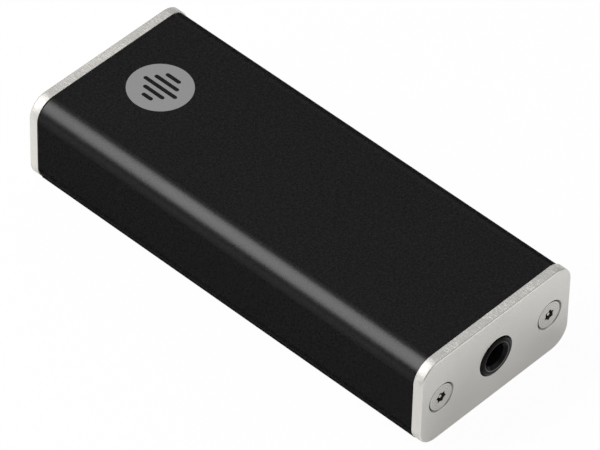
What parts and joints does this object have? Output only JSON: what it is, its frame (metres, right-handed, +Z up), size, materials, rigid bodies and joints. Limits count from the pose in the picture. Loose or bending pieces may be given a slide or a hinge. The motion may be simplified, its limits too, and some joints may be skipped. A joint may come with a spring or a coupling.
{
  "type": "desktop dac",
  "caption": "Pocket USB audio converter and headphone amplifier: a board inside a black aluminium sleeve closed by screwed silver end plates, with a headphone socket and a USB socket.",
  "frame": {"origin": "under the middle of the object's box, on the surface that the two end plates' lower edges stand on", "axes": "+X across the case, +Y along the case from the headphone end to the USB end, +Z up"},
  "size_m": [0.03, 0.0754, 0.015],
  "materials": {
    "anodised_black": "black anodised over a fine bead blast, satin",
    "plate_aluminium": "natural anodised, fine satin face, milled edge",
    "screw_steel": "stainless, turned head",
    "board_laminate": "glass-epoxy laminate with green solder mask",
    "jack_plastic": "black moulded nylon, glossy",
    "spring_bronze": "phosphor bronze, plated",
    "socket_steel": "nickel-plated steel sheet",
    "socket_plastic": "black moulded plastic",
    "contact_gold": "gold-plated copper alloy",
    "chip_moulding": "black epoxy moulding",
    "tinned_lead": "tin-plated copper",
    "can_aluminium": "drawn aluminium can",
    "crystal_ceramic": "fired ceramic tray",
    "crystal_lid_steel": "welded metal lid",
    "ferrite": "pressed ferrite",
    "capacitor_ceramic": "fired ceramic",
    "resistor_glaze": "black glaze over ceramic"
  },
  "bodies": {
    "case": {"body_sleeve": "anodised_black", "front_plate": "plate_aluminium", "rear_plate": "plate_aluminium", "front_screws": "screw_steel", "rear_screws": "screw_steel", "circuit_board": "board_laminate", "jack_housing": "jack_plastic", "jack_tip_terminal": "spring_bronze", "jack_ring_terminal": "spring_bronze", "jack_ground_terminal": "spring_bronze", "usb_shell": "socket_steel", "usb_insulator": "socket_plastic", "usb_contacts": "contact_gold", "headphone_amplifier": "chip_moulding", "headphone_amplifier_leads": "tinned_lead", "audio_converter": "chip_moulding", "audio_converter_leads": "tinned_lead", "usb_controller": "chip_moulding", "usb_controller_leads": "tinned_lead", "memory_chip": "chip_moulding", "memory_chip_leads": "tinned_lead", "surge_diode": "chip_moulding", "surge_diode_leads": "tinned_lead", "voltage_regulators": "chip_moulding", "voltage_regulator_leads": "tinned_lead", "capacitor_cans": "can_aluminium", "capacitor_bases": "socket_plastic", "capacitor_tabs": "tinned_lead", "crystal_tray": "crystal_ceramic", "crystal_lid": "crystal_lid_steel", "power_choke": "ferrite", "power_choke_feet": "tinned_lead", "chip_capacitors": "capacitor_ceramic", "chip_capacitor_ends": "tinned_lead", "chip_resistors": "resistor_glaze", "chip_resistor_ends": "tinned_lead"},
    "tip_spring": {"jack_tip_spring": "spring_bronze"},
    "ring_spring": {"jack_ring_spring": "spring_bronze"},
    "ground_spring": {"jack_ground_spring": "spring_bronze"}
  },
  "joints": [
    {"name": "tip_spring_flex", "type": "hinge", "parent": "case", "child": "tip_spring", "pos_m": [0.00255, -0.03205, 0.0075], "axis": [0, 0, -1], "range_deg": [0, 4.5], "stiffness_Nm_per_rad": 0.044},
    {"name": "ring_spring_flex", "type": "hinge", "parent": "case", "child": "ring_spring", "pos_m": [-0.00255, -0.02525, 0.0075], "axis": [0, 0, -1], "range_deg": [0, 6.5], "stiffness_Nm_per_rad": 0.066},
    {"name": "ground_spring_flex", "type": "hinge", "parent": "case", "child": "ground_spring", "pos_m": [0, -0.02725, 0.00495], "axis": [1, 0, 0], "range_deg": [0, 6], "stiffness_Nm_per_rad": 0.06}
  ]
}
